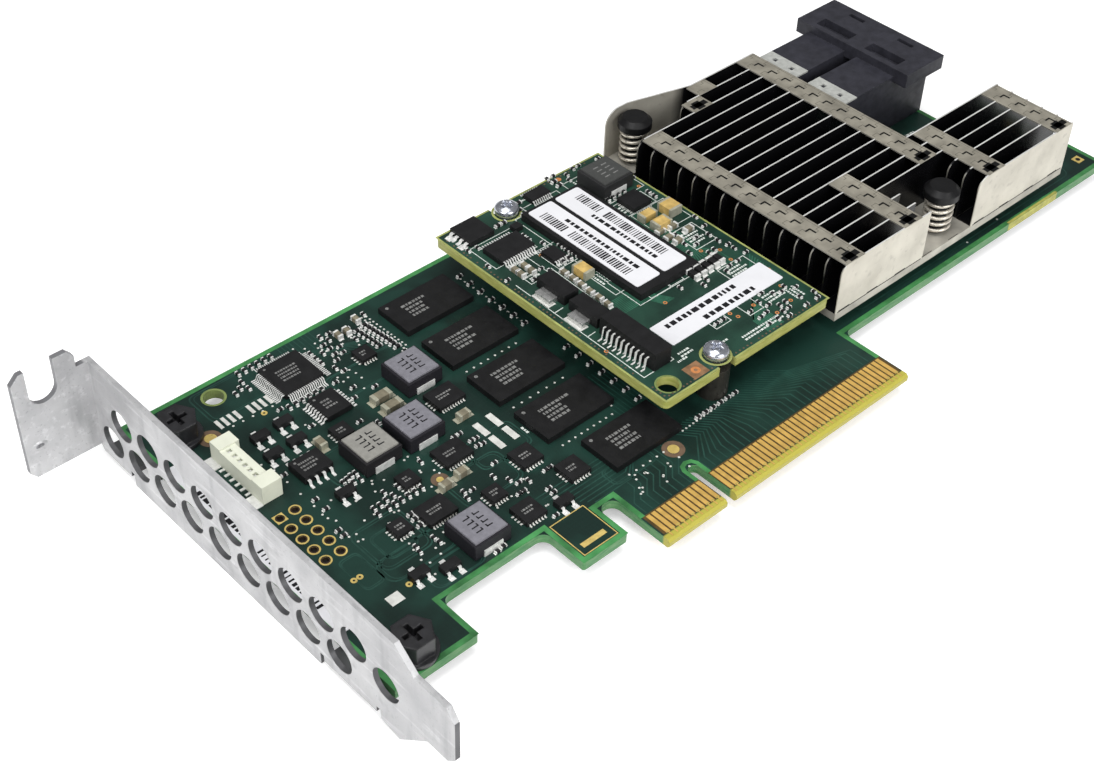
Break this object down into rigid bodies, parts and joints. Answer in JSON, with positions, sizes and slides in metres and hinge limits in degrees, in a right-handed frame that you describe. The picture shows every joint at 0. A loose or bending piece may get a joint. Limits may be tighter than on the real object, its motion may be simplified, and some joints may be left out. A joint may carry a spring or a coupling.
{
  "type": "storage controller card",
  "caption": "Low-profile storage controller card: green board with gold edge contacts, vented steel bracket, finned heatsink, black cable sockets and a raised cache module.",
  "frame": {"origin": "on the bracket's outer face, level with the contact edge and the board's underside", "axes": "+X along the card from the bracket to the far end, +Y from the gold contact edge to the top edge, +Z out of the component side"},
  "size_m": [0.1818, 0.0792, 0.0217],
  "materials": {
    "board_mask": "semi-gloss green solder mask over glass fibre laminate",
    "module_mask": "semi-gloss green solder mask over glass fibre laminate",
    "gold_plate": "thin gold plating",
    "bracket_steel": "galvanised, dull and lightly mottled",
    "black_screw": "black oxide, glossy",
    "bright_screw": "bright nickel plate",
    "standoff_metal": "nickel plated brass",
    "sink_metal": "plated, warm satin",
    "spring_steel": "drawn wire",
    "thermal_filler": "soft, matt",
    "black_plastic": "moulded, fine grained",
    "chip_plastic": "moulded, fine grained",
    "coil_grey": "pressed powder, fine grained",
    "coil_taupe": "pressed powder, fine grained",
    "tin": "tinned",
    "white_label": "printed with plain bars, satin",
    "cream_plastic": "moulded",
    "capacitor_tan": "satin",
    "bright_tab": "bright tinned tab"
  },
  "bodies": {
    "root": {"board_capacitors": "capacitor_tan", "board_label": "white_label", "bracket": "bracket_steel", "bracket_screws": "black_screw", "cable_socket_clips": "tin", "cable_socket_housing": "black_plastic", "cable_socket_wafers": "black_plastic", "chip_resistors": "chip_plastic", "coil_a_body": "coil_grey", "coil_b_body": "coil_grey", "coil_c_body": "coil_taupe", "coil_d_body": "coil_grey", "coil_end_plates": "tin", "controller_chip": "chip_plastic", "edge_contacts": "gold_plate", "eight_lead_chip": "chip_plastic", "eight_lead_chip_leads": "tin", "gold_pads": "gold_plate", "header_rings": "gold_plate", "heatsink_base": "sink_metal", "heatsink_fins": "sink_metal", "main_board": "board_mask", "memory_chip_1": "chip_plastic", "memory_chip_2": "chip_plastic", "memory_chip_3": "chip_plastic", "memory_chip_4": "chip_plastic", "memory_chip_5": "chip_plastic", "module_bar_labels": "white_label", "module_board": "module_mask", "module_capacitors": "capacitor_tan", "module_chips": "chip_plastic", "module_coil_body": "coil_grey", "module_coil_ends": "tin", "module_flash_package": "chip_plastic", "module_long_label": "white_label", "module_lower_connector": "black_plastic", "module_power_packages": "chip_plastic", "module_power_tabs": "bright_tab", "module_screws": "bright_screw", "module_side_socket": "black_plastic", "module_socket_leads": "tin", "module_standoffs": "standoff_metal", "module_upper_connector": "black_plastic", "power_stage_chips": "chip_plastic", "push_pin_springs": "spring_steel", "push_pins": "black_plastic", "quad_flat_chip": "chip_plastic", "quad_flat_leads": "tin", "regulator_chips": "chip_plastic", "small_flat_chips": "chip_plastic", "small_transistor_leads": "tin", "small_transistors": "chip_plastic", "solder_pads": "tin", "thermal_pad": "thermal_filler", "two_row_chip": "chip_plastic", "two_row_leads": "tin", "wire_connector_anchors": "tin", "wire_connector_housing": "cream_plastic", "wire_connector_pins": "tin"}
  },
  "joints": []
}
